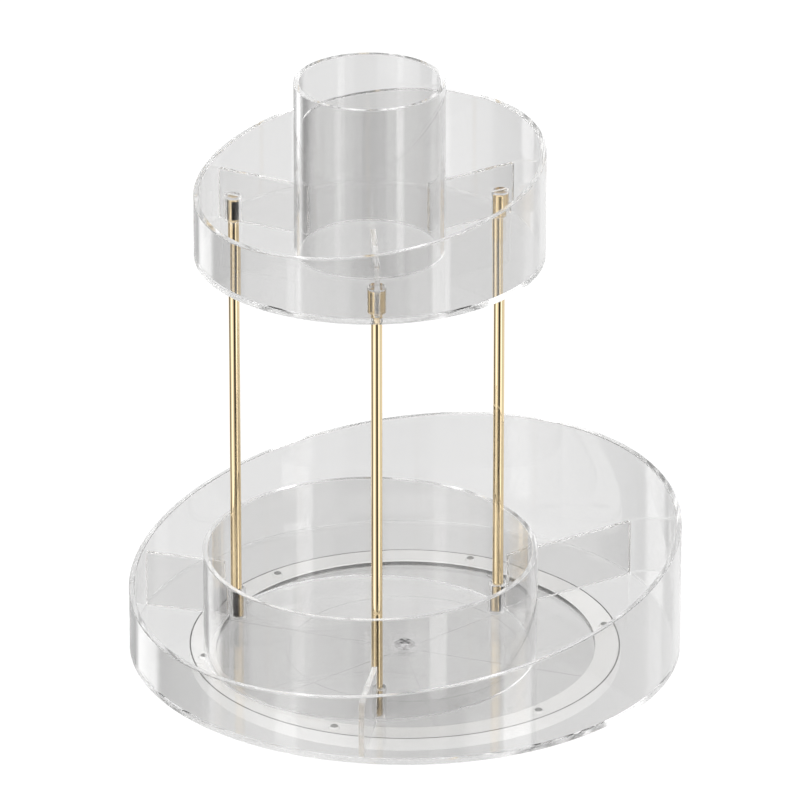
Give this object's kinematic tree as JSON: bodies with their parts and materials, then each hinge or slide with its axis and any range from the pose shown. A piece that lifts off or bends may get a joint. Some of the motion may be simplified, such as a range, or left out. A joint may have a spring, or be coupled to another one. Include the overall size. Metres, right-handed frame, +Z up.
{
  "type": "lazy susan turntable organiser",
  "caption": "Clear two-tier organiser that spins on a ball-bearing lazy susan base, with slanted tray rims, dividers, gold posts and a brush cup.",
  "frame": {"origin": "on the spin axis, on the surface that the feet stand on", "axes": "+Z up along the spin axis, +Y to the tall side of both slanted rims, +X to the right seen from the low side"},
  "size_m": [0.3, 0.3, 0.3452],
  "materials": {
    "clear_acrylic": "polished clear acrylic",
    "clear_moulding": "moulded clear plastic",
    "white_plastic": "satin white moulded plastic",
    "gold_rod": "polished gold plating",
    "plated_steel": "bright zinc plate",
    "bearing_ball": "polished white acetal",
    "rubber_foot": "clear soft rubber"
  },
  "bodies": {
    "base": {"turntable_base": "clear_moulding", "ball_ring": "white_plastic", "bearing_ball_1": "bearing_ball", "bearing_ball_2": "bearing_ball", "bearing_ball_3": "bearing_ball", "bearing_ball_4": "bearing_ball", "bearing_ball_5": "bearing_ball", "bearing_ball_6": "bearing_ball", "base_foot_1": "rubber_foot", "base_foot_2": "rubber_foot", "base_foot_3": "rubber_foot", "base_foot_4": "rubber_foot", "base_foot_5": "rubber_foot", "base_foot_6": "rubber_foot", "pivot_screw": "plated_steel", "pivot_washer": "plated_steel"},
    "carousel": {"pivot_bush": "clear_moulding", "lower_tray_floor": "clear_acrylic", "lower_tray_wall": "clear_acrylic", "lower_inner_ring": "clear_acrylic", "upper_tray_floor": "clear_acrylic", "upper_tray_wall": "clear_acrylic", "brush_cup": "clear_acrylic", "lower_divider_rear": "clear_acrylic", "lower_divider_left": "clear_acrylic", "lower_divider_right": "clear_acrylic", "lower_socket_rear": "clear_acrylic", "lower_socket_left": "clear_acrylic", "lower_socket_right": "clear_acrylic", "upper_divider_rear": "clear_acrylic", "upper_divider_left": "clear_acrylic", "upper_divider_right": "clear_acrylic", "upper_socket_rear": "clear_acrylic", "upper_socket_left": "clear_acrylic", "upper_socket_right": "clear_acrylic", "support_rod_rear": "gold_rod", "support_rod_left": "gold_rod", "support_rod_right": "gold_rod"}
  },
  "joints": [
    {"name": "tray_spin", "type": "hinge", "parent": "base", "child": "carousel", "pos_m": [0, 0, 0.0099], "axis": [0, 0, 1], "continuous": true}
  ]
}
